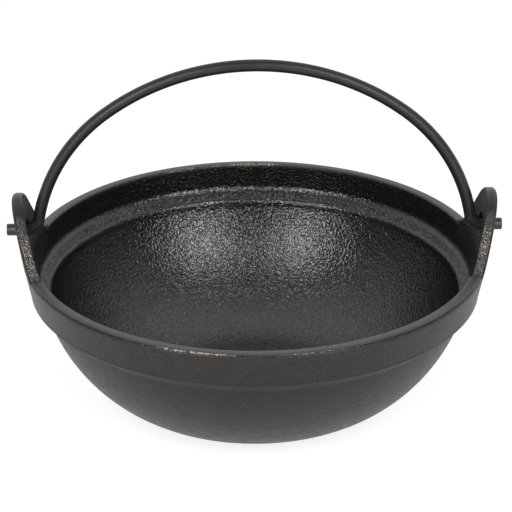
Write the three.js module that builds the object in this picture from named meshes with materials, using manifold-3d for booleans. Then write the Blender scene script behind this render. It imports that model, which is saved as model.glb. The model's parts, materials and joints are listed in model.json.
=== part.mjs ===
// Cast iron hot pot: a one-piece casting with two ears, and a round bail that swings in them.
// Millimetres, +Z up. The origin is the middle of the base, and the bail's pivot line runs along X.

import * as THREE from "three";
import { mergeVertices } from "three/addons/utils/BufferGeometryUtils.js";
import Module from "manifold-3d";

const wasm = await Module();
wasm.setup();

const degrees = THREE.MathUtils.degToRad;

// Pot casting
const potHeight = 91.2; // base to the top of the rim
const rimRadius = 132.8; // outside of the band at its top
const rimWall = 7.5; // thickness at the rim top
const rimLean = degrees(4); // the rim's inside leans outwards
const bandLean = degrees(11.67); // and the band outside it leans more
const bandHeight = 20.5; // rim top to the band's lower edge
const shoulderWidth = 7; // how far the bowl stands in under the band
const shoulderDrop = 5.5; // slope of the band's underside
const seatDepth = 16.4; // rim top to the outer edge of the lid seat
const seatWidth = 7.5;
const seatDrop = 4; // slope of the seat
const bowlWall = 5.5;
const bowlLean = degrees(15.2); // lean of the bowl's wall where it starts under the band
const bowlPull = 39.8; // how far the wall keeps that lean before it turns under
const baseRadius = 50; // flat that the pot stands on
const basePull = 28.9; // how far the bottom keeps flat past the base
const rimRound = 2.6; // rounded outer edge of the rim
const seatFootRound = 2.5; // hollow corner between the rim's inside and the lid seat
const seatLipRound = 1.5; // edge between the lid seat and the bowl
const shoulderRound = 2; // hollow corner under the band

// Ears
const pivotHeight = 14.8; // pivot line above the rim top
const earRadius = 21.1; // round top, about the pivot
const earFootHalf = 36.1; // half the ear's width at the rim top
const earLean = degrees(8.4); // both faces lean outwards
const earSwell = 0.4; // the outer face stands this far out of the band at the rim top
const flareLean = degrees(14); // below that it runs back into the band at this lean

// Bail
const rodRadius = 3.4;
const bailReach = 98.2; // pivot line to the rod's middle at the crown
const archHalf = degrees(37.2); // half the wide arch over the crown, before it tightens down each leg
const legLean = degrees(9.4); // the legs still spread at their lower ends
const bendInside = 0.4; // radius on the inside of each bend at the rod's ends
const slantRun = 4.3; // straight stretch between the two bends
const slantAngle = degrees(38); // its slope
const slantDepth = 2.5; // how far into the ear the slanting stretch has bent level
const stubOverhang = 5.8; // rod end past the ear's outer face

// Clearances
const pivotClearance = 0.8; // rod to ear hole, where the hole is narrowest
const slantClearance = 1.2; // slanting rod to the wide mouth of the hole, above the pivot line
const overcut = 2; // cutting bodies run this far past what they cut

// Smoothness
const turnSteps = 90; // facets round the pot
const curveSteps = 14; // facets down the bowl's wall
const roundSteps = 3; // facets in a rounded corner
const earSteps = 10; // facets in half the ear's round top
const holeSides = 32;
const rodCurveSegments = 8; // half the rod's sides
const archSteps = 30;
const legSteps = 7;
const bendSteps = 3;
const mergeDistance = 1e-3; // corners closer than this are one corner

// A closed geometry becomes a solid: shared corners are merged and the triangles with no area dropped.
function toSolid(geometry) {
  const bare = geometry.clone();
  bare.deleteAttribute("normal");
  bare.deleteAttribute("uv");
  const merged = mergeVertices(bare, mergeDistance);
  const index = merged.index.array;
  const triangles = [];
  for (let i = 0; i < index.length; i += 3) {
    const [a, b, c] = [index[i], index[i + 1], index[i + 2]];
    if (a !== b && b !== c && c !== a) triangles.push(a, b, c);
  }
  const mesh = new wasm.Mesh({
    numProp: 3,
    vertProperties: new Float32Array(merged.attributes.position.array),
    triVerts: new Uint32Array(triangles),
  });
  return new wasm.Manifold(mesh);
}

function toGeometry(solid) {
  const mesh = solid.getMesh();
  const geometry = new THREE.BufferGeometry();
  geometry.setAttribute("position", new THREE.BufferAttribute(mesh.vertProperties, 3));
  geometry.setIndex(new THREE.BufferAttribute(mesh.triVerts, 1));
  geometry.computeVertexNormals();
  return geometry;
}

// Turns a profile of radius and height about Z.
function revolve(profile) {
  return toSolid(new THREE.LatheGeometry(profile, turnSteps).rotateX(Math.PI / 2));
}

// Outside of the leaning band at a height
function bandRadius(height) {
  return rimRadius + (height - potHeight) * Math.tan(bandLean);
}

// Outer wall of the bowl, from the flat base up to the foot of the shoulder
const bandFoot = bandRadius(potHeight - bandHeight);
const bowlTop = new THREE.Vector2(bandFoot - shoulderWidth, potHeight - bandHeight - shoulderDrop);
const bowlCurve = new THREE.CubicBezierCurve(
  new THREE.Vector2(baseRadius, 0),
  new THREE.Vector2(baseRadius + basePull, 0),
  new THREE.Vector2(bowlTop.x - bowlPull * Math.sin(bowlLean), bowlTop.y - bowlPull * Math.cos(bowlLean)),
  bowlTop,
);

// Inner wall: the outer one set in by the wall's thickness, square to the curve
function innerWallPoint(share) {
  const point = bowlCurve.getPoint(share);
  const along = bowlCurve.getTangent(share);
  return point.add(new THREE.Vector2(-along.y, along.x).multiplyScalar(bowlWall));
}

// Rounds one corner of a profile, by no more than the straight stretches beside it allow.
function roundCorner(before, corner, after, radius) {
  const back = before.clone().sub(corner);
  const ahead = after.clone().sub(corner);
  const half = back.angleTo(ahead) / 2;
  const reach = Math.min(radius / Math.tan(half), back.length() / 2, ahead.length() / 2);
  const start = corner.clone().addScaledVector(back.normalize(), reach);
  const end = corner.clone().addScaledVector(ahead.normalize(), reach);
  return new THREE.QuadraticBezierCurve(start, corner, end).getPoints(roundSteps);
}

const rimInside = rimRadius - rimWall;

function potProfile() {
  const outside = bowlCurve.getPoints(curveSteps);
  const inside = [];
  for (let i = curveSteps; i >= 0; i -= 1) inside.push(innerWallPoint(i / curveSteps));
  const bandEdge = new THREE.Vector2(bandFoot, potHeight - bandHeight);
  const rimEdge = new THREE.Vector2(rimRadius, potHeight);
  const rimInner = new THREE.Vector2(rimInside, potHeight);
  const seatFoot = new THREE.Vector2(rimInside - seatDepth * Math.tan(rimLean), potHeight - seatDepth);
  const seatLip = new THREE.Vector2(seatFoot.x - seatWidth, seatFoot.y - seatDrop);
  return [
    new THREE.Vector2(0, 0),
    ...outside.slice(0, -1),
    ...roundCorner(outside.at(-2), bowlTop, bandEdge, shoulderRound),
    bandEdge,
    ...roundCorner(bandEdge, rimEdge, rimInner, rimRound),
    rimInner,
    ...roundCorner(rimInner, seatFoot, seatLip, seatFootRound),
    ...roundCorner(seatFoot, seatLip, inside[0], seatLipRound),
    ...inside,
    new THREE.Vector2(0, bowlWall),
  ];
}

// The ears are what is left of a leaning collar on the rim, cut to an outline seen along X.
const pivotZ = potHeight + pivotHeight;
const flareDrop = earSwell / (Math.tan(flareLean) - Math.tan(bandLean));

function earOuterRadius(height) {
  const lean = height > potHeight ? earLean : flareLean;
  return rimRadius + earSwell + (height - potHeight) * Math.tan(lean);
}

function earInnerRadius(height) {
  return rimInside + (height - potHeight) * Math.tan(earLean);
}

function earCollar() {
  const top = pivotZ + earRadius + overcut;
  const root = potHeight - flareDrop - overcut;
  const profile = [
    new THREE.Vector2(earOuterRadius(root), root),
    new THREE.Vector2(earOuterRadius(potHeight), potHeight),
    new THREE.Vector2(earOuterRadius(top), top),
    new THREE.Vector2(earInnerRadius(top), top),
    new THREE.Vector2(rimInside, potHeight),
    new THREE.Vector2(earOuterRadius(root), root),
  ];
  return revolve(profile);
}

// Straight flanks rise to a round top about the pivot, and run on down the band until the flare ends.
function earOutline() {
  const reach = Math.hypot(earFootHalf, pivotHeight);
  const flankLength = Math.sqrt(reach ** 2 - earRadius ** 2);
  const flankAngle = Math.atan2(pivotHeight, earFootHalf) + Math.asin(earRadius / reach);
  const touch = Math.PI / 2 - flankAngle;
  const runOut = flareDrop + 2 * overcut;
  const foot = earFootHalf + runOut / Math.tan(flankAngle);
  const flankTop = new THREE.Vector2(
    earFootHalf - flankLength * Math.cos(flankAngle),
    potHeight + flankLength * Math.sin(flankAngle),
  );
  const outline = new THREE.Shape();
  outline.moveTo(-foot, potHeight - runOut);
  outline.lineTo(foot, potHeight - runOut);
  outline.lineTo(flankTop.x, flankTop.y);
  outline.absarc(0, pivotZ, earRadius, touch, Math.PI - touch, false);
  outline.closePath();
  return outline;
}

const span = 2 * (earOuterRadius(pivotZ + earRadius) + overcut);

function ears() {
  const prism = new THREE.ExtrudeGeometry(earOutline(), {
    depth: span,
    bevelEnabled: false,
    curveSegments: earSteps,
  });
  prism.translate(0, 0, -span / 2);
  prism.rotateX(Math.PI / 2);
  prism.rotateZ(Math.PI / 2);
  return earCollar().intersect(toSolid(prism));
}

const bendRadius = rodRadius + bendInside;

// Each hole narrows outwards from a mouth wide enough for the slanting rod.
function pivotHole(side) {
  const inner = earInnerRadius(pivotZ);
  const outer = earOuterRadius(pivotZ);
  const slantReach = slantDepth - bendRadius * Math.tan(slantAngle / 2);
  const slantTop = slantReach * Math.tan(slantAngle) + rodRadius / Math.cos(slantAngle);
  const mouth = slantTop + slantClearance;
  const throat = rodRadius + pivotClearance;
  const narrowing = (mouth - throat) / (outer - inner);
  const hole = new THREE.CylinderGeometry(
    throat - overcut * narrowing,
    mouth + overcut * narrowing,
    outer - inner + 2 * overcut,
    holeSides,
  );
  hole.rotateZ(-Math.PI / 2);
  hole.translate((inner + outer) / 2, 0, pivotZ);
  if (side < 0) hole.rotateZ(Math.PI);
  return toSolid(hole);
}

function potBody() {
  return revolve(potProfile()).add(ears()).subtract(pivotHole(1)).subtract(pivotHole(-1));
}

// The rod's middle line: flat curves in the plane of the bail, each with its own count of steps.
function bailCurves() {
  const stubInner = earInnerRadius(pivotZ) + slantDepth;
  const stubOuter = earOuterRadius(pivotZ) + stubOverhang;
  const half = Math.PI / 2;
  const lowX = stubInner - bendRadius * Math.sin(slantAngle);
  const lowZ = bendRadius * (1 - Math.cos(slantAngle));
  const highX = lowX - slantRun * Math.cos(slantAngle);
  const highZ = lowZ + slantRun * Math.sin(slantAngle);
  const elbowX = highX + bendRadius * Math.sin(slantAngle);
  const elbowZ = highZ + bendRadius * Math.cos(slantAngle);
  // An arch of two radii: it leaves the legs at their lean and is level at the crown
  const legX = elbowX - bendRadius * Math.cos(legLean);
  const legRise = bailReach - elbowZ + bendRadius * Math.sin(legLean);
  const inward = Math.cos(legLean) - Math.sin(archHalf);
  const upward = Math.cos(archHalf) - Math.sin(legLean);
  const sag = 1 - Math.cos(archHalf);
  const turn = upward * Math.sin(archHalf) - inward * sag;
  const archRadius = (upward * legX - inward * legRise) / turn;
  const legRadius = (Math.sin(archHalf) * legRise - sag * legX) / turn;
  const crownZ = bailReach - archRadius;
  const legCentreX = legX - legRadius * Math.cos(legLean);
  const legCentreZ = bailReach - legRise - legRadius * Math.sin(legLean);
  const legTop = half - archHalf;

  const arc = (x, z, radius, from, to) =>
    new THREE.EllipseCurve(x, z, radius, radius, from, to, to < from);
  const line = (x0, z0, x1, z1) =>
    new THREE.LineCurve(new THREE.Vector2(x0, z0), new THREE.Vector2(x1, z1));
  const slantSide = half - slantAngle;
  return [
    [line(stubOuter, 0, stubInner, 0), 1],
    [arc(stubInner, bendRadius, bendRadius, -half, -half - slantAngle), bendSteps],
    [line(lowX, lowZ, highX, highZ), 1],
    [arc(elbowX, elbowZ, bendRadius, Math.PI + slantSide, Math.PI + legLean), bendSteps],
    [arc(legCentreX, legCentreZ, legRadius, legLean, legTop), legSteps],
    [arc(0, crownZ, archRadius, legTop, Math.PI - legTop), archSteps],
    [arc(-legCentreX, legCentreZ, legRadius, Math.PI - legTop, Math.PI - legLean), legSteps],
    [arc(-elbowX, elbowZ, bendRadius, -legLean, -slantSide), bendSteps],
    [line(-highX, highZ, -lowX, lowZ), 1],
    [arc(-stubInner, bendRadius, bendRadius, slantAngle - half, -half), bendSteps],
    [line(-stubInner, 0, -stubOuter, 0), 1],
  ];
}

// A path in the upright XZ plane whose steps fall on the ends of its curves
class RodPath extends THREE.Curve {
  constructor(curves, height) {
    super();
    this.stations = [];
    for (const [curve, steps] of curves) {
      const first = this.stations.length ? 1 : 0;
      for (let i = first; i <= steps; i += 1) {
        const point = curve.getPoint(i / steps);
        const along = curve.getTangent(i / steps);
        this.stations.push({
          point: new THREE.Vector3(point.x, 0, point.y + height),
          along: new THREE.Vector3(along.x, 0, along.y),
        });
      }
    }
    this.steps = this.stations.length - 1;
  }

  getUtoTmapping(u) {
    return u;
  }

  getPoint(t, target = new THREE.Vector3()) {
    return target.copy(this.stations[Math.round(t * this.steps)].point);
  }

  getTangent(t, target = new THREE.Vector3()) {
    return target.copy(this.stations[Math.round(t * this.steps)].along);
  }
}

function bailHandle() {
  const path = new RodPath(bailCurves(), pivotZ);
  const section = new THREE.Shape();
  section.absarc(0, 0, rodRadius, 0, 2 * Math.PI);
  const rod = new THREE.ExtrudeGeometry(section, {
    steps: path.steps,
    extrudePath: path,
    curveSegments: rodCurveSegments,
  });
  return toSolid(rod);
}

function piece(name, solid, material) {
  const mesh = new THREE.Mesh(toGeometry(solid), material);
  mesh.name = name;
  return mesh;
}

const castIron = new THREE.MeshStandardMaterial({ color: 0x2e2c2d, roughness: 0.6, metalness: 0.55 });
const rodIron = new THREE.MeshStandardMaterial({ color: 0x2a2828, roughness: 0.48, metalness: 0.6 });

const hotPot = new THREE.Group();
hotPot.add(piece("pot_body", potBody(), castIron));
hotPot.add(piece("bail_handle", bailHandle(), rodIron));

export default hotPot;
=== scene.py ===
import json
import math
import bmesh
import bpy
from mathutils import Matrix, Vector, noise
from mathutils.geometry import interpolate_bezier


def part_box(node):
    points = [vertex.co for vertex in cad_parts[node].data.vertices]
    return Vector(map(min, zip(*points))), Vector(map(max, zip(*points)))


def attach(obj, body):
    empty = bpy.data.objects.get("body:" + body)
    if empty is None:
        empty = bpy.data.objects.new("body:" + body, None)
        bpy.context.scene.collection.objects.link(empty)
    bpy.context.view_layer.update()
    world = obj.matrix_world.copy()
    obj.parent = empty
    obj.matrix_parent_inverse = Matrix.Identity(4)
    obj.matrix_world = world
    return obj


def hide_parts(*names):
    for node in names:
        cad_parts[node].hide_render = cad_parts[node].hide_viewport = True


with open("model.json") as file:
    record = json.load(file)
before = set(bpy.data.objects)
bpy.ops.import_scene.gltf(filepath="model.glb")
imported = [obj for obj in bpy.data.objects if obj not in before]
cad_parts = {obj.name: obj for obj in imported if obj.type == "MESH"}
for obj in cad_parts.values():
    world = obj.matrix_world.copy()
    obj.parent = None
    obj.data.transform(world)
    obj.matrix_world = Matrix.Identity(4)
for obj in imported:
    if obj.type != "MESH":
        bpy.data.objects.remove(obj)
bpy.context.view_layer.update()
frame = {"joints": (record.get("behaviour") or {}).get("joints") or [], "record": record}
mm = 0.001
hair = 0.1 * mm  # slack for telling places apart
weld = 1e-6  # points closer than this become one

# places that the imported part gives
pivot = Vector(frame["joints"][0]["pos_m"])
rimTop = next(m["pos_m"][2] for m in frame["record"]["mounts"] if m["name"] == "rim_rest")
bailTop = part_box("bail_handle")[1].z
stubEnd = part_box("bail_handle")[1].x
print("frame loaded, rim", round(rimTop / mm, 1), "mm high, pivot", round(pivot.z / mm, 1), "mm")


def ease(low, high, value):
    share = min(1, max(0, (value - low) / (high - low)))
    return share * share * (3 - 2 * share)


def finishPiece(bm, name, body, node, materials):
    for face in bm.faces:
        face.smooth = True
    mesh = bpy.data.meshes.new(name)
    bm.to_mesh(mesh)
    bm.free()
    for material in materials:
        mesh.materials.append(material)
    piece = bpy.data.objects.new(name, mesh)
    bpy.context.scene.collection.objects.link(piece)
    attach(piece, body)
    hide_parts(node)
    print(name, len(mesh.polygons), "faces")


# pot: one casting, turned from half a section, then the ears are drawn up out of its rim
potCasting = {
    "rimRadius": 132.74 * mm,
    "rimWall": 7.44 * mm,
    "rimLean": math.radians(4),
    "bandLean": math.radians(11.67),
    "bandHeight": 20.5 * mm,
    "seamProud": 0.15 * mm,  # parting line left by the two halves of the mould
    "seamWidth": 0.5 * mm,
    "shoulderWidth": 7 * mm,
    "shoulderDrop": 5.5 * mm,
    "seatDepth": 16.4 * mm,
    "seatWidth": 7.5 * mm,
    "seatDrop": 4 * mm,
    "bowlWall": 5.5 * mm,
    "bowlLean": math.radians(15.2),
    "bowlPull": 39.8 * mm,
    "baseRadius": 50 * mm,
    "basePull": 28.9 * mm,
    "rimEdge": 3.2 * mm,
    "rimInnerEdge": 1.4 * mm,
    "seatFootRound": 2.4 * mm,
    "seatLipRound": 1.6 * mm,
    "shoulderRound": 1.6 * mm,
    "bowlRows": 44,
    "rowHeight": 2 * mm,
    "earRowHeight": 0.7 * mm,
    "discRow": 6 * mm,
    "turnSteps": 360,
    "sideFacing": 0.5,  # the outside's normals rise less than this
    "trueFoot": 1 * mm,  # the base stays true up to this height
    "waviness": 0.12 * mm,
    "waveLength": 26 * mm,
}
finishes = ["outside", "band", "rim", "wall", "seat", "bowl"]
rimRadius = potCasting["rimRadius"]
rimInside = rimRadius - potCasting["rimWall"]

ear = {
    "radius": 21.1 * mm,
    "footHalf": 36.1 * mm,
    "lean": math.radians(8.4),
    "swell": 0.1 * mm,  # the outer face stands this far out of the band at the rim top
    "bulge": 0.2 * mm,  # and a little more half way up
    "swellRoot": 9 * mm,  # it starts this far below the rim top
    "swellBlend": 12 * mm,  # and dies away sideways over this width
    "setBack": 1.4 * mm,  # the inner face stands back from the rim's
    "innerRoot": 9 * mm,  # and is drawn up from this far below the rim top
    "footDip": 1.7 * mm,  # small hollow in the rim where each flank ends
    "footDipHalf": 1.7 * mm,
    "footShade": 0.6,  # the share of the hollow's half width that takes the wall's darker finish, as painted shade in the hollow
    "footCuts": 2,
    "footCutDown": 1.2,  # finer columns go down by this many rim roundings
    "footCutReach": 4,  # and sideways by this many half widths of the hollow
    "settleSteps": 4,
    "holeMouth": 6.4 * mm,
    "holeThroat": 4.2 * mm,
    "holeEdge": 0.5 * mm,
    "holePatch": Vector((7.4 * mm, 8.2 * mm)),
}
rimSlope = math.tan(potCasting["rimLean"])
bandSlope = math.tan(potCasting["bandLean"])
earSlope = math.tan(ear["lean"])
earTop = pivot.z - rimTop + ear["radius"]


def potSection(bm):
    p = potCasting
    bandFoot = rimTop - p["bandHeight"]
    bandFace = rimRadius - p["bandHeight"] * bandSlope
    bowlTop = Vector((bandFace - p["shoulderWidth"], 0, bandFoot - p["shoulderDrop"]))
    lean = Vector((math.sin(p["bowlLean"]), 0, math.cos(p["bowlLean"])))
    baseEdge = Vector((p["baseRadius"], 0, 0))
    level = Vector((1, 0, 0))
    outside = interpolate_bezier(
        baseEdge, baseEdge + level * p["basePull"],
        bowlTop - lean * p["bowlPull"], bowlTop, p["bowlRows"])
    inside = []
    for i, point in enumerate(outside):
        along = (outside[min(i + 1, len(outside) - 1)] - outside[max(i - 1, 0)]).normalized()
        along = level if i == 0 else lean if point is outside[-1] else along
        inside.append(point + Vector((-along.z, 0, along.x)) * p["bowlWall"])

    seam = Vector((bandFace + p["seamProud"], 0, bandFoot))
    seamUnder = Vector((bandFace - p["seamProud"], 0, bandFoot - p["seamWidth"] / 2))
    seamOver = Vector((bandFace + p["seamWidth"] * bandSlope, 0, bandFoot + p["seamWidth"]))
    rimOuter = Vector((rimRadius, 0, rimTop))
    rimInner = Vector((rimInside, 0, rimTop))
    seatFoot = Vector((rimInside - p["seatDepth"] * rimSlope, 0, rimTop - p["seatDepth"]))
    seatLip = seatFoot - Vector((p["seatWidth"], 0, p["seatDrop"]))
    line = [Vector((0, 0, 0)), *outside, seamUnder, seam, seamOver, rimOuter, rimInner, seatFoot,
            seatLip, *reversed(inside), Vector((0, 0, p["bowlWall"]))]
    verts = [bm.verts.new(point) for point in line]
    for a, b in zip(verts, verts[1:]):
        bm.edges.new((a, b))

    top = 1 + len(outside)
    rounds = {
        top - 1: ("shoulderRound", 4),
        top + 3: ("rimEdge", 10),
        top + 4: ("rimInnerEdge", 6),
        top + 5: ("seatFootRound", 6),
        top + 6: ("seatLipRound", 6),
    }
    for i, (size, segments) in rounds.items():
        bmesh.ops.bevel(bm, geom=[verts[i]], offset=p[size], offset_type="OFFSET", affect="VERTICES",
                        segments=segments, profile=0.5, material=-1)
    for edge in list(bm.edges):
        middle = (edge.verts[0].co + edge.verts[1].co) / 2
        row = p["earRowHeight"] if middle.z > rimTop - ear["innerRoot"] else p["rowHeight"]
        if middle.x < p["baseRadius"]:
            row = p["discRow"]
        cuts = int(edge.calc_length() / row)
        if cuts:
            bmesh.ops.subdivide_edges(bm, edges=[edge], cuts=cuts)


def earHeight(y):
    # a small hollow in the rim, straight flanks, then a round top about the pivot
    rise = pivot.z - rimTop
    reach = math.hypot(ear["footHalf"], rise)
    flank = math.atan2(rise, ear["footHalf"]) + math.asin(ear["radius"] / reach)
    if y < ear["radius"] * math.sin(flank):
        return rise + math.sqrt(ear["radius"] ** 2 - y ** 2)
    past = abs(y - ear["footHalf"] - ear["footDipHalf"] / 2)
    dip = ear["footDip"] * (1 - ease(0, ear["footDipHalf"], past))
    return max(0, (ear["footHalf"] - y) * math.tan(flank)) - dip


def earFaces(y, z):
    # radii of the wall's two faces, with the ears' own lean above the rim top
    above = z - rimTop
    shown = 1 - ease(ear["footHalf"] - ear["swellBlend"] / 2, ear["footHalf"] + ear["swellBlend"] / 2, y)
    back = 1 - ease(ear["footHalf"] - ear["footDipHalf"], ear["footHalf"] + ear["footDipHalf"], y)
    inner = rimInside + above * (earSlope if above > 0 else rimSlope)
    inner += ear["setBack"] * back * ease(-ear["innerRoot"], 0, above)
    outer = rimRadius + above * (earSlope if above > 0 else bandSlope)
    bulge = ear["bulge"] * math.sin(math.pi * min(1, max(0, above / earTop)))
    outer += (ear["swell"] * ease(-ear["swellRoot"], 0, above) + bulge) * shown
    return inner, outer


def refineFeet(bm):
    # closer columns in the rim where the flanks end
    lowest = rimTop - ear["footCutDown"] * potCasting["rimEdge"]
    reach = ear["footCutReach"] * ear["footDipHalf"]
    edges = []
    for edge in bm.edges:
        a, b = (v.co for v in edge.verts)
        if abs(a.z - b.z) > hair or a.z < lowest:
            continue
        middle = (a + b) / 2
        nearFoot = abs(abs(middle.y) - ear["footHalf"]) < reach
        if nearFoot and abs(math.hypot(a.x, a.y) - math.hypot(b.x, b.y)) < hair:
            edges.append(edge)
    bmesh.ops.subdivide_edges(bm, edges=edges, cuts=ear["footCuts"])


def raiseEars(bm):
    # radius and height depend on each other, so each point settles in a few steps
    lipStart = rimTop - potCasting["rimEdge"]
    for vert in bm.verts:
        radius = math.hypot(vert.co.x, vert.co.y)
        below = vert.co.z - rimTop
        inner, outer = rimInside + below * rimSlope, rimRadius + below * bandSlope
        across = (radius - inner) / (outer - inner)
        share = min(1, (below + ear["innerRoot"]) / (lipStart - rimTop + ear["innerRoot"]))
        if radius < inner - hair or share < 0:
            continue
        side = math.copysign(1, vert.co.x)
        turn = math.atan2(vert.co.y, abs(vert.co.x))
        for _ in range(ear["settleSteps"]):
            y = abs(radius * math.sin(turn))
            z = vert.co.z + share * earHeight(y)
            inner, outer = earFaces(y, z)
            radius = inner + (outer - inner) * across
        vert.co = (side * radius * math.cos(turn), radius * math.sin(turn), z)


def shadeFootHollows(bm):
    # painted shade: the hollows where the flanks end take the wall's darker finish
    for face in bm.faces:
        past = abs(abs(face.calc_center_median().y) - ear["footHalf"] - ear["footDipHalf"] / 2)
        if face.material_index == finishes.index("rim") and past < ear["footDipHalf"] * ear["footShade"]:
            face.material_index = finishes.index("wall")


def cutPivotHoles(bm):
    # each hole narrows outwards from a wide mouth, with its edges eased
    wide, high = ear["holePatch"]
    for side in (-1, 1):
        patch = []
        for face in bm.faces:
            middle = face.calc_center_median()
            onSide = middle.x * side > rimInside / 2
            if onSide and abs(middle.y) < wide and abs(middle.z - pivot.z) < high:
                patch.append(face)
        bmesh.ops.delete(bm, geom=patch, context="FACES")
        bmesh.ops.subdivide_edges(bm, edges=[e for e in bm.edges if e.is_boundary], cuts=1)
        openEdges = [e for e in bm.edges if e.is_boundary]
        lips = []
        for grow, sink in ((ear["holeEdge"], 0), (0, ear["holeEdge"])):
            made = bmesh.ops.extrude_edge_only(bm, edges=openEdges)["geom"]
            openEdges = [g for g in made if isinstance(g, bmesh.types.BMEdge) and g.is_boundary]
            for vert in {v for e in openEdges for v in e.verts}:
                outer = abs(vert.co.x) > sum(earFaces(0, vert.co.z)) / 2
                spoke = Vector((0, vert.co.y, vert.co.z - pivot.z)).normalized()
                place = pivot + spoke * (ear["holeThroat" if outer else "holeMouth"] + grow)
                radius = earFaces(0, place.z)[1 if outer else 0] + (-sink if outer else sink)
                vert.co = (side * math.sqrt(radius ** 2 - place.y ** 2), place.y, place.z)
            lips += openEdges
        bmesh.ops.bridge_loops(bm, edges=openEdges)
        for edge in lips:
            edge.smooth = False


def roughen(bm):
    # castings are never quite true: a slow unevenness, only ever inwards
    for vert in bm.verts:
        if vert.co.z < potCasting["trueFoot"]:
            continue
        share = (1 + noise.noise(vert.co / potCasting["waveLength"])) / 2
        vert.co -= vert.normal * potCasting["waviness"] * share


def markRegions(bm):
    # which finish each face takes, from where it lies on the section
    p = potCasting
    seatFall = p["seatDrop"] / math.hypot(p["seatWidth"], p["seatDrop"])
    wallFoot = rimTop - p["seatDepth"] + p["seatFootRound"]
    seatTop = rimTop - p["seatDepth"] - p["seatFootRound"] * seatFall
    seatEnd = rimTop - p["seatDepth"] - p["seatDrop"] + p["seatLipRound"] * seatFall
    for face in bm.faces:
        middle = face.calc_center_median()
        radius = math.hypot(middle.x, middle.y)
        inner = rimInside + (middle.z - rimTop) * rimSlope
        facingOut = face.normal.x * middle.x + face.normal.y * middle.y > 0
        if middle.z > rimTop - p["rimInnerEdge"] / 2 and radius > inner - hair:
            face.material_index = finishes.index("rim")
        elif face.normal.z < p["sideFacing"] and facingOut:
            onBand = middle.z > rimTop - p["bandHeight"]
            face.material_index = finishes.index("band" if onBand else "outside")
        elif middle.z > wallFoot:
            face.material_index = finishes.index("wall")
        elif seatEnd < middle.z < seatTop:
            face.material_index = finishes.index("seat")
        else:
            face.material_index = finishes.index("bowl" if middle.z > p["bowlWall"] / 2 else "outside")


# where the rim is rubbed bare: arcs in degrees round from the front, left negative, with a strength
wearAndHighlights = {
    "outside": [(-22, -10, 1.0), (-8, 8, 0.3), (7, 18, 0.6), (-62, -44, 0.12), (40, 70, 0.12)],
    "inside": [(-181, -158, 0.7), (174, 181, 0.7), (-150, -125, 0.3), (130, 160, 0.25)],
    "arcFade": 7,
    "outsideMiddle": -0.8 * mm,  # heights are from the rim top
    "outsideHalf": 0.45 * mm,
    "outsideSoft": 0.3 * mm,
    "outsideFull": 0.5,  # arcs of this strength are bare along their middle
    "insideLow": (-3.4 * mm, -1.0 * mm),
    "insideAcross": (1.0 * mm, 1.8 * mm),
    "gritGlintsLow": (0.2 * mm, 1.5 * mm),  # grit on the ears' flanks, specks of worn casting that are partly painted glints, comes in over these heights
    "gritGlintsHigh": (19 * mm, 30 * mm),  # and dies away over these
    "gritGlintsSparse": [(2 * mm, 4 * mm), (9 * mm, 14 * mm)],  # it thins out, and closes up again
    "gritGlintsThin": 0.12,
    "gritGlintsDeep": (0.5 * mm, 1.6 * mm),  # and it lies only this deep under the flank
}


def rubbed(arcs, around):
    fade = wearAndHighlights["arcFade"]
    return max(strength * ease(start - fade, start, around) * (1 - ease(end, end + fade, around))
               for start, end, strength in arcs)


def wearAndGlintsAt(place):
    # how bare each place is worn: the rim's outer edge, its inner edge, and grit up the ears' flanks,
    # whose specks are partly painted glints
    high = place.z - rimTop
    across = math.hypot(place.x, place.y) - rimInside
    around = math.degrees(math.atan2(place.x, -place.y))
    if high > hair:
        deep = earHeight(abs(place.y)) - high
        upFlank = ease(*wearAndHighlights["gritGlintsLow"], high) * (1 - ease(*wearAndHighlights["gritGlintsHigh"], high))
        sparse, close = wearAndHighlights["gritGlintsSparse"]
        upFlank *= 1 - wearAndHighlights["gritGlintsThin"] * ease(*sparse, high) * (1 - ease(*close, high))
        return 0, upFlank * (1 - ease(*wearAndHighlights["gritGlintsDeep"], deep))
    inner = ease(*wearAndHighlights["insideLow"], high) * (1 - ease(*wearAndHighlights["insideAcross"], across))
    if across < potCasting["rimWall"] / 2:
        return inner * rubbed(wearAndHighlights["inside"], around), 0
    bareAndLit = rubbed(wearAndHighlights["outside"], around)
    half, soft = wearAndHighlights["outsideHalf"] * bareAndLit, wearAndHighlights["outsideSoft"]
    off = abs(high - wearAndHighlights["outsideMiddle"])
    return min(1, bareAndLit / wearAndHighlights["outsideFull"]) * (1 - ease(half - soft, half + soft, off)), 0


def buildPot(materials):
    bm = bmesh.new()
    potSection(bm)
    bmesh.ops.spin(bm, geom=bm.verts[:] + bm.edges[:], cent=(0, 0, 0), axis=(0, 0, 1), dvec=(0, 0, 0),
                   angle=2 * math.pi, steps=potCasting["turnSteps"], use_merge=True, use_duplicate=False)
    bmesh.ops.remove_doubles(bm, verts=bm.verts[:], dist=weld)
    bmesh.ops.recalc_face_normals(bm, faces=bm.faces[:])
    bm.normal_update()
    markRegions(bm)
    refineFeet(bm)
    raiseEars(bm)
    shadeFootHollows(bm)
    cutPivotHoles(bm)
    bmesh.ops.recalc_face_normals(bm, faces=bm.faces[:])
    bm.normal_update()
    roughen(bm)
    bm.normal_update()
    bareAndLit = bm.verts.layers.float.new("edgeWearAndHighlight")
    gritAndGlints = bm.verts.layers.float.new("flankGritAndGlints")
    for vert in bm.verts:
        vert[bareAndLit], vert[gritAndGlints] = wearAndGlintsAt(vert.co)
    finishPiece(bm, "potCasting", "pot", "pot_body", materials)


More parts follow.
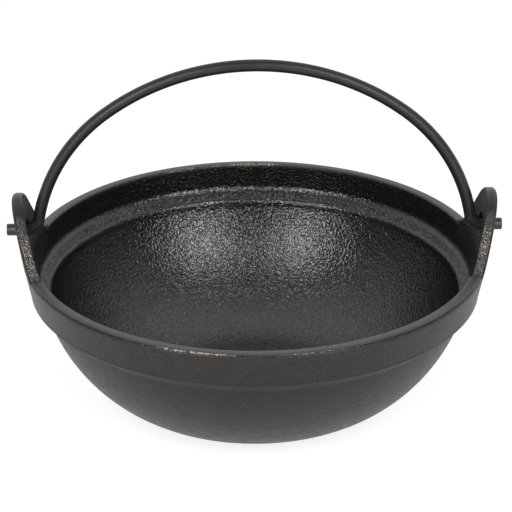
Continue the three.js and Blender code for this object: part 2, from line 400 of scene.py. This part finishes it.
# bail: one round rod, swept by spins about the centres of its bends
bailRod = {
    "radius": 3.4 * mm,
    "sides": 32,
    "archHalf": math.radians(37.2),
    "legLean": math.radians(9.4),
    "bendInside": 0.4 * mm,
    "slantRun": 4.3 * mm,
    "slantAngle": math.radians(38),
    "slantDepth": 2.5 * mm,
    "archSteps": 40,
    "legSteps": 30,
    "bendSteps": 8,
    "endEdge": 0.4 * mm,
    "endSegments": 2,
    "endShort": 0.05 * mm,
    "endFacing": 0.99,  # faces this square to the pivot line are the cut ends
    "nicks": 0.15,
    "armHighlight": 0.5,  # painted highlight: the slanted arms and stubs are painted lighter and browner, where the ears also rub them
    "armHighlightTop": (4 * mm, 9 * mm),  # as far up as this above the pivot
}


def buildBail(materials):
    b = bailRod
    slant, lean, arch = b["slantAngle"], b["legLean"], b["archHalf"]
    bend = b["radius"] + b["bendInside"]
    stubStart = rimInside + (pivot.z - rimTop) * earSlope + b["slantDepth"]
    reach = bailTop - b["radius"] - pivot.z
    elbowX = stubStart - b["slantRun"] * math.cos(slant)
    elbowZ = bend + b["slantRun"] * math.sin(slant)
    # two radii that leave the legs at their lean and are level at the crown
    legX = elbowX - bend * math.cos(lean)
    legRise = reach - elbowZ + bend * math.sin(lean)
    inward = math.cos(lean) - math.sin(arch)
    upward = math.cos(arch) - math.sin(lean)
    sag = 1 - math.cos(arch)
    share = upward * math.sin(arch) - inward * sag
    archRadius = (upward * legX - inward * legRise) / share
    legRadius = (math.sin(arch) * legRise - sag * legX) / share
    legCentreX = legX - legRadius * math.cos(lean)
    legCentreZ = reach - legRise - legRadius * math.sin(lean)

    bm = bmesh.new()
    crown = Matrix.Translation((0, 0, pivot.z + reach)) @ Matrix.Rotation(math.pi / 2, 4, "Y")
    ring = bmesh.ops.create_circle(bm, segments=b["sides"], radius=b["radius"], matrix=crown)
    edges = list(dict.fromkeys(e for v in ring["verts"] for e in v.link_edges))

    def onlyEdges(geom):
        return [g for g in geom if isinstance(g, bmesh.types.BMEdge)]

    def turn(edges, x, z, angle, steps):
        verts = list(dict.fromkeys(v for e in edges for v in e.verts))
        made = bmesh.ops.spin(bm, geom=verts + edges, cent=(x, 0, pivot.z + z), axis=(0, 1, 0),
                              dvec=(0, 0, 0), angle=angle, steps=steps, use_merge=False,
                              use_duplicate=False)
        return onlyEdges(made["geom_last"])

    def run(edges, x, z):
        made = bmesh.ops.extrude_edge_only(bm, edges=edges)["geom"]
        verts = [g for g in made if isinstance(g, bmesh.types.BMVert)]
        bmesh.ops.translate(bm, verts=verts, vec=(x, 0, z))
        return [e for e in onlyEdges(made) if e.is_boundary]

    edges = turn(edges, 0, reach - archRadius, arch, b["archSteps"])
    edges = turn(edges, legCentreX, legCentreZ, math.pi / 2 - lean - arch, b["legSteps"])
    edges = turn(edges, elbowX, elbowZ, slant + lean - math.pi / 2, b["bendSteps"])
    edges = run(edges, b["slantRun"] * math.cos(slant), -b["slantRun"] * math.sin(slant))
    edges = turn(edges, stubStart, bend, -slant, b["bendSteps"])
    edges = run(edges, stubEnd - b["endShort"] - stubStart, 0)
    cap = bmesh.ops.contextual_create(bm, geom=edges)["faces"]
    bmesh.ops.bevel(bm, geom=cap[0].edges[:], offset=b["endEdge"], offset_type="OFFSET", affect="EDGES",
                    segments=b["endSegments"], profile=0.5, material=-1)
    bmesh.ops.mirror(bm, geom=bm.verts[:] + bm.edges[:] + bm.faces[:], axis="X", merge_dist=weld)
    bmesh.ops.remove_doubles(bm, verts=bm.verts[:], dist=weld)
    bmesh.ops.recalc_face_normals(bm, faces=bm.faces[:])
    for face in bm.faces:
        face.material_index = 1 if abs(face.normal.x) > b["endFacing"] else 0
    bareAndLit = bm.verts.layers.float.new("edgeWearAndHighlight")
    for vert in bm.verts:
        # nicks all over, plus the arms' painted highlight near the pivot, in one attribute
        vert[bareAndLit] = b["nicks"] + b["armHighlight"] * (1 - ease(*b["armHighlightTop"], vert.co.z - pivot.z))
    finishPiece(bm, "bailRod", "bail", "bail_handle", materials)


# short ways to make the nodes that the finishes and the stage share
def addNode(tree, kind, inputs=None, **settings):
    made = tree.nodes.new(kind)
    for key, value in settings.items():
        setattr(made, key, value)
    for key, value in (inputs or {}).items():
        if isinstance(value, bpy.types.NodeSocket):
            tree.links.new(value, made.inputs[key])
        else:
            made.inputs[key].default_value = value
    return made


def maths(tree, operation, *values):
    return addNode(tree, "ShaderNodeMath", dict(enumerate(values)), operation=operation).outputs[0]


def spread(tree, value, source=(0, 1), target=(0, 1), curve="LINEAR"):
    made = addNode(tree, "ShaderNodeMapRange", {
        "Value": value, "From Min": source[0], "From Max": source[1],
        "To Min": target[0], "To Max": target[1]}, interpolation_type=curve)
    return made.outputs["Result"]


def blend(tree, share, first, second, kind="RGBA"):
    made = addNode(tree, "ShaderNodeMix", {"Factor": share, "A": first, "B": second}, data_type=kind)
    return made.outputs["Result"]


def clouding(tree, place, size, detail, rough=0.5, twist=0.0):
    made = addNode(tree, "ShaderNodeTexNoise", {
        "Vector": place, "Scale": size, "Detail": detail, "Roughness": rough, "Distortion": twist})
    return made.outputs["Fac"]


# node groups shared by the iron finishes
def newGroup(name, inputs, outputs):
    group = bpy.data.node_groups.new(name, "ShaderNodeTree")
    for label, kind, default in inputs:
        socket = group.interface.new_socket(name=label, in_out="INPUT", socket_type=kind)
        if default is not None:
            socket.default_value = default
    for label, kind in outputs:
        group.interface.new_socket(name=label, in_out="OUTPUT", socket_type=kind)
    return group, group.nodes.new("NodeGroupInput"), group.nodes.new("NodeGroupOutput")


def grainGroup():
    # skin that sand leaves on a casting: leathery lumps with a finer tooth over them
    toothFiner = 3.1
    group, start, end = newGroup("castGrain", [
        ("Vector", "NodeSocketVector", None),
        ("Size", "NodeSocketFloat", 500),
        ("Tooth", "NodeSocketFloat", 0.3),
    ], [("Height", "NodeSocketFloat")])
    place, size = start.outputs["Vector"], start.outputs["Size"]
    lumps = clouding(group, place, size, detail=1.0, twist=0.5)
    tooth = clouding(group, place, maths(group, "MULTIPLY", size, toothFiner), detail=2.0, rough=0.6)
    height = maths(group, "MULTIPLY_ADD", tooth, start.outputs["Tooth"], lumps)
    group.links.new(height, end.inputs["Height"])
    return group


def mottleGroup():
    # slow cloudy change over the iron, and a smaller blotchiness in it
    cloudSpan = (0.35, 0.65)
    blotchFiner = 9.0
    group, start, end = newGroup("ironMottle", [
        ("Vector", "NodeSocketVector", None),
        ("Size", "NodeSocketFloat", 30),
    ], [("Cloud", "NodeSocketFloat"), ("Blotch", "NodeSocketFloat")])
    place, size = start.outputs["Vector"], start.outputs["Size"]
    cloud = clouding(group, place, size, detail=3.0, rough=0.55)
    blotch = clouding(group, place, maths(group, "MULTIPLY", size, blotchFiner), detail=4.0, rough=0.6)
    group.links.new(spread(group, cloud, cloudSpan), end.inputs["Cloud"])
    group.links.new(blotch, end.inputs["Blotch"])
    return group


def specksGroup():
    # bright specks where the skin is rubbed off, closer together the more it is worn; on the ears' flanks
    # they are partly painted glints, and on the bail's arms partly a painted highlight
    patchSize = 110.0
    patchSpan = (0.24, 0.46)
    unworn = 0.85
    speckEdge = 0.06
    toneShare = 0.45
    toneSpan = (0.38, 0.6)
    group, start, end = newGroup("wornAndGlintSpecks", [
        ("Vector", "NodeSocketVector", None),
        ("Size", "NodeSocketFloat", 1500),
        ("WearAndHighlight", "NodeSocketFloat", 0),
        ("Full", "NodeSocketFloat", 0.42),
    ], [("BareAndGlint", "NodeSocketFloat"), ("Tone", "NodeSocketFloat")])
    place, size = start.outputs["Vector"], start.outputs["Size"]
    patchy = spread(group, clouding(group, place, patchSize, detail=2.0, rough=0.6), patchSpan)
    rubAndGlint = maths(group, "MULTIPLY", start.outputs["WearAndHighlight"], patchy)
    limit = spread(group, rubAndGlint, target=(unworn, start.outputs["Full"]))
    specks = clouding(group, place, size, detail=1.0, rough=0.6)
    bareAndLit = spread(group, maths(group, "SUBTRACT", specks, limit), (0, speckEdge))
    tones = clouding(group, place, maths(group, "MULTIPLY", size, toneShare), detail=1.0)
    group.links.new(bareAndLit, end.inputs["BareAndGlint"])
    group.links.new(spread(group, tones, toneSpan), end.inputs["Tone"])
    return group


grain = grainGroup()
mottle = mottleGroup()
wornAndGlintSpecks = specksGroup()
print("node groups made")


# a stain and bright specks by an attribute; the attributes also carry the flanks' painted glints and the
# arms' painted highlight
def addSpecks(tree, place, colour, attribute, look):
    wornAndLit = addNode(tree, "ShaderNodeAttribute", attribute_name=attribute).outputs["Fac"]
    specks = addNode(tree, "ShaderNodeGroup", {
        "Vector": place, "Size": look["size"], "WearAndHighlight": wornAndLit, "Full": look["full"]}, node_tree=wornAndGlintSpecks)
    stainedAndLit = blend(tree, wornAndLit, colour, (*look["stainAndSheen"], 1))
    metal = blend(tree, specks.outputs["Tone"], (*look["brown"], 1), (*look["bright"], 1))
    return blend(tree, specks.outputs["BareAndGlint"], stainedAndLit, metal), wornAndLit


blotchSpan = (0.3, 0.7)  # blotches run through the whole of a finish's roughness between these
glintTopsSpan = (0.5, 0.75)  # painted highlight: grain turns to a lighter colour on its tops between these heights, standing in for glints


def ironMaterial(name, look):
    material = bpy.data.materials.new(name)
    material.use_nodes = True
    tree = material.node_tree
    shader = tree.nodes["Principled BSDF"]
    place = addNode(tree, "ShaderNodeTexCoord").outputs["Object"]
    skin = addNode(tree, "ShaderNodeGroup", {
        "Vector": place, "Size": look["grainSize"], "Tooth": look["tooth"]}, node_tree=grain)
    clouds = addNode(tree, "ShaderNodeGroup", {
        "Vector": place, "Size": look["cloudSize"]}, node_tree=mottle)
    height = skin.outputs["Height"]
    sheen = spread(tree, clouds.outputs["Blotch"], blotchSpan, look["rough"])
    colour = blend(tree, clouds.outputs["Cloud"], (*look["dark"], 1), (*look["warm"], 1))
    # painted highlight on the grain's tops
    if "glintTops" in look:
        colour = blend(tree, spread(tree, height, glintTopsSpan), colour, (*look["glintTops"], 1))
    if "beyond" in look:
        beyond = look["beyond"]
        level = addNode(tree, "ShaderNodeSeparateXYZ", {0: place}).outputs["Z"]
        past = spread(tree, level, beyond["between"], curve="SMOOTHSTEP")
        colour = blend(tree, past, colour, (*beyond["colour"], 1))
        sheen = blend(tree, past, sheen, beyond["rough"], kind="FLOAT")
        height = maths(tree, "MULTIPLY", height, spread(tree, past, target=(1, beyond["coarse"])))
    if "wearAndHighlights" in look:
        colour, _ = addSpecks(tree, place, colour, "edgeWearAndHighlight", look["wearAndHighlights"])
    if "gritAndGlints" in look:
        gritAndGlints = look["gritAndGlints"]
        colour, gritGlintShare = addSpecks(tree, place, colour, "flankGritAndGlints", gritAndGlints)
        sheen = blend(tree, gritGlintShare, sheen, gritAndGlints["sheen"], kind="FLOAT")
        height = maths(tree, "MULTIPLY", height, maths(tree, "MULTIPLY_ADD", gritGlintShare, gritAndGlints["coarse"], 1))

    bump = addNode(tree, "ShaderNodeBump", {
        "Height": height, "Strength": 1.0, "Distance": look["grainDepth"]})
    tree.links.new(colour, shader.inputs["Base Color"])
    tree.links.new(sheen, shader.inputs["Roughness"])
    tree.links.new(bump.outputs["Normal"], shader.inputs["Normal"])
    shader.inputs["IOR"].default_value = look["ior"]
    shader.inputs["Specular Tint"].default_value = (*look["cast"], 1)
    return material


# each finish's colours, sheen and grain; the tops colour is a painted highlight on the grain's raised
# points, and beyond is what it turns to between two heights
rubbedEdge = {
    "size": 1500, "full": 0.36, "stainAndSheen": (0.030, 0.018, 0.011),
    "brown": (0.18, 0.13, 0.09), "bright": (0.50, 0.46, 0.41),
}
potLooks = {
    "outside": {
        "dark": (0.005, 0.005, 0.005), "warm": (0.009, 0.008, 0.008), "glintTops": (0.018, 0.0175, 0.018),
        "cast": (1, 1, 1), "cloudSize": 22, "rough": (0.32, 0.44), "ior": 1.4,
        "grainSize": 900, "tooth": 0.1, "grainDepth": 0.4 * mm,
    },
    "band": {
        "dark": (0.004, 0.004, 0.004), "warm": (0.011, 0.0096, 0.0088), "glintTops": (0.023, 0.0195, 0.018),
        "cast": (1, 0.99, 0.985), "cloudSize": 110, "rough": (0.32, 0.46), "ior": 1.4,
        "grainSize": 900, "tooth": 0.1, "grainDepth": 0.4 * mm,
        "wearAndHighlights": rubbedEdge,
    },
    "rim": {
        "dark": (0.024, 0.024, 0.028), "warm": (0.032, 0.032, 0.037),
        "cast": (0.95, 0.97, 1), "cloudSize": 40, "rough": (0.30, 0.40), "ior": 1.52,
        "grainSize": 1200, "tooth": 0.4, "grainDepth": 0.08 * mm,
        "beyond": {
            "between": (rimTop + 0.5 * mm, rimTop + 4 * mm), "colour": (0.008, 0.0078, 0.008),
            "rough": 0.34, "coarse": 1.0,
        },
        "wearAndHighlights": rubbedEdge,
        # the flanks' grit: specks of worn casting that partly stand in as painted glints
        "gritAndGlints": {
            "size": 2400, "full": 0.56, "stainAndSheen": (0.009, 0.006, 0.004),
            "brown": (0.12, 0.075, 0.045), "bright": (0.78, 0.72, 0.60), "coarse": 9, "sheen": 0.2,
        },
    },
    "wall": {
        "dark": (0.005, 0.0045, 0.004), "warm": (0.009, 0.0075, 0.0065), "glintTops": (0.058, 0.051, 0.052),
        "cast": (1, 1, 1), "cloudSize": 30, "rough": (0.56, 0.68), "ior": 1.34,
        "grainSize": 760, "tooth": 0.02, "grainDepth": 0.93 * mm,
        "beyond": {
            "between": (rimTop + 6 * mm, rimTop - 4 * mm), "colour": (0.003, 0.0027, 0.0024),
            "rough": 0.22, "coarse": 0.67,
        },
        "wearAndHighlights": {
            "size": 1600, "full": 0.46, "stainAndSheen": (0.014, 0.012, 0.010),
            "brown": (0.13, 0.105, 0.085), "bright": (0.32, 0.30, 0.27),
        },
    },
    "seat": {
        "dark": (0.006, 0.0055, 0.0065), "warm": (0.010, 0.009, 0.010), "glintTops": (0.150, 0.136, 0.152),
        "cast": (0.98, 0.95, 1), "cloudSize": 40, "rough": (0.30, 0.40), "ior": 1.38,
        "grainSize": 860, "tooth": 0.05, "grainDepth": 0.45 * mm,
    },
    "bowl": {
        "dark": (0.013, 0.0108, 0.0145), "warm": (0.017, 0.0145, 0.018), "glintTops": (0.070, 0.062, 0.073),
        "cast": (1, 0.97, 0.97), "cloudSize": 26, "rough": (0.25, 0.33), "ior": 1.68,
        "grainSize": 740, "tooth": 0.02, "grainDepth": 0.5 * mm,
        "beyond": {
            "between": (8 * mm, 34 * mm), "colour": (0.003, 0.0024, 0.0020),
            "rough": 0.22, "coarse": 1.0,
        },
    },
}
rodLooks = {
    "rod": {
        "dark": (0.006, 0.006, 0.006), "warm": (0.011, 0.010, 0.010),
        "cast": (1, 0.97, 0.95), "cloudSize": 60, "rough": (0.31, 0.42), "ior": 1.42,
        "grainSize": 1300, "tooth": 0.6, "grainDepth": 0.08 * mm,
        # its stain colour also paints the arms' highlight
        "wearAndHighlights": {
            "size": 900, "full": 0.50, "stainAndSheen": (0.036, 0.031, 0.028),
            "brown": (0.05, 0.038, 0.028), "bright": (0.11, 0.09, 0.072),
        },
    },
    "rodEnd": {
        "dark": (0.05, 0.042, 0.036), "warm": (0.10, 0.082, 0.066),
        "cast": (1, 1, 1), "cloudSize": 300, "rough": (0.45, 0.6), "ior": 1.5,
        "grainSize": 900, "tooth": 0.6, "grainDepth": 0.12 * mm,
    },
}

buildPot([ironMaterial(finish + "Iron", potLooks[finish]) for finish in finishes])
buildBail([ironMaterial(finish + "Iron", look) for finish, look in rodLooks.items()])
print("pieces and finishes made")

# stage: pale floor, soft lamps and the photograph's camera
studio = {
    "floorHalf": 4.0,
    "floorCells": 4,
    "floorGap": 0.2 * mm,  # the base and the floor don't share one plane
    "floorColour": (0.45, 0.45, 0.45, 1),
    "floorRough": 0.9,
    "floorLift": 0.75,
    "floorPaintedShadow": (0.08, 0.34),  # painted shadow of the pot: the floor that shows in the iron is darker inside these radii
    # how far the painted shadow lowers the floor's glow at its middle
    "floorShadowLevel": 0.68,
    "lampTurn": math.radians(33),
    "lampRise": math.radians(29),
    "lampAway": 1.2,
    "lampWide": 0.32,
    "lampTall": 0.95,
    "lampPower": 10.5,
    "skyFill": 0.3,
    "behindDark": 0.12,  # what shows in the iron from behind the camera
    "behindFade": (-0.35, 0.15),
}
white = (1, 1, 1, 1)


def buildFloor():
    bm = bmesh.new()
    cells = studio["floorCells"]
    bmesh.ops.create_grid(bm, x_segments=cells, y_segments=cells, size=studio["floorHalf"])
    bmesh.ops.translate(bm, verts=bm.verts[:], vec=(0, 0, -studio["floorGap"]))
    mesh = bpy.data.meshes.new("floor")
    bm.to_mesh(mesh)
    bm.free()
    floor = bpy.data.objects.new("floor", mesh)
    bpy.context.scene.collection.objects.link(floor)
    material = bpy.data.materials.new("paleFloor")
    material.use_nodes = True
    tree = material.node_tree
    shader = tree.nodes["Principled BSDF"]
    shader.inputs["Base Color"].default_value = studio["floorColour"]
    shader.inputs["Roughness"].default_value = studio["floorRough"]
    shader.inputs["Emission Color"].default_value = white
    seen = addNode(tree, "ShaderNodeLightPath").outputs
    place = addNode(tree, "ShaderNodeTexCoord").outputs["Object"]
    away = addNode(tree, "ShaderNodeVectorMath", {0: place}, operation="LENGTH").outputs["Value"]
    # painted shadow of the pot in the floor's glow that glossy rays see
    paintedShadow = spread(tree, away, studio["floorPaintedShadow"], (studio["floorShadowLevel"], 1), curve="SMOOTHSTEP")
    bounced = maths(tree, "MAXIMUM", seen["Is Glossy Ray"], seen["Is Transmission Ray"])
    direct = maths(tree, "MAXIMUM", seen["Is Camera Ray"], maths(tree, "MULTIPLY", bounced, paintedShadow))
    lift = maths(tree, "MULTIPLY", direct, studio["floorLift"])
    tree.links.new(lift, shader.inputs["Emission Strength"])
    # clear from below, so that the underside can be looked at
    below = addNode(tree, "ShaderNodeNewGeometry").outputs["Backfacing"]
    clear = addNode(tree, "ShaderNodeBsdfTransparent").outputs[0]
    shown = addNode(tree, "ShaderNodeMixShader", {0: below, 1: shader.outputs[0], 2: clear})
    tree.links.new(shown.outputs[0], tree.nodes["Material Output"].inputs["Surface"])
    mesh.materials.append(material)


def buildLamps():
    for name, side in (("lampLeft", -1), ("lampRight", 1)):
        data = bpy.data.lights.new(name, "AREA")
        data.shape = "RECTANGLE"
        data.size = studio["lampWide"]
        data.size_y = studio["lampTall"]
        data.energy = studio["lampPower"]
        lamp = bpy.data.objects.new(name, data)
        turn, rise = side * studio["lampTurn"], studio["lampRise"]
        away = Vector((math.sin(turn) * math.cos(rise), -math.cos(turn) * math.cos(rise), math.sin(rise)))
        lamp.location = away * studio["lampAway"] + Vector((0, 0, rimTop / 2))
        lamp.rotation_euler = away.to_track_quat("Z", "Y").to_euler()
        bpy.context.scene.collection.objects.link(lamp)


def buildSky():
    # a white studio: dim as fill, white to the eye, and darker behind the camera in the iron
    world = bpy.data.worlds.new("studioSky")
    bpy.context.scene.world = world
    world.use_nodes = True
    tree = world.node_tree
    tree.nodes.clear()
    seen = addNode(tree, "ShaderNodeLightPath").outputs
    towards = addNode(tree, "ShaderNodeTexCoord").outputs["Generated"]
    deep = addNode(tree, "ShaderNodeSeparateXYZ", {0: towards}).outputs["Y"]
    ahead = spread(tree, deep, studio["behindFade"], (studio["behindDark"], 1), curve="SMOOTHSTEP")
    glossy = blend(tree, seen["Is Glossy Ray"], studio["skyFill"], ahead, kind="FLOAT")
    direct = maths(tree, "MAXIMUM", seen["Is Camera Ray"], seen["Is Transmission Ray"])
    strength = blend(tree, direct, glossy, 1, kind="FLOAT")
    sky = addNode(tree, "ShaderNodeBackground", {"Color": white, "Strength": strength})
    out = addNode(tree, "ShaderNodeOutputWorld")
    tree.links.new(sky.outputs[0], out.inputs["Surface"])


photoCamera = {
    "place": Vector((-41.5, -1379.7, 734.3)) * mm,
    "elevation": math.radians(25.11),
    "azimuth": math.radians(-1.75),
    "lens": 186.9,
    "sensor": 36,
}


def buildCamera():
    data = bpy.data.cameras.new("photoCamera")
    data.lens = photoCamera["lens"]
    data.sensor_width = photoCamera["sensor"]
    camera = bpy.data.objects.new("photoCamera", data)
    camera.location = photoCamera["place"]
    camera.rotation_euler = (math.pi / 2 - photoCamera["elevation"], 0, photoCamera["azimuth"])
    bpy.context.scene.collection.objects.link(camera)
    bpy.context.scene.camera = camera


buildFloor()
buildLamps()
buildSky()
buildCamera()
bpy.context.scene.view_settings.view_transform = "Standard"
print("stage set")
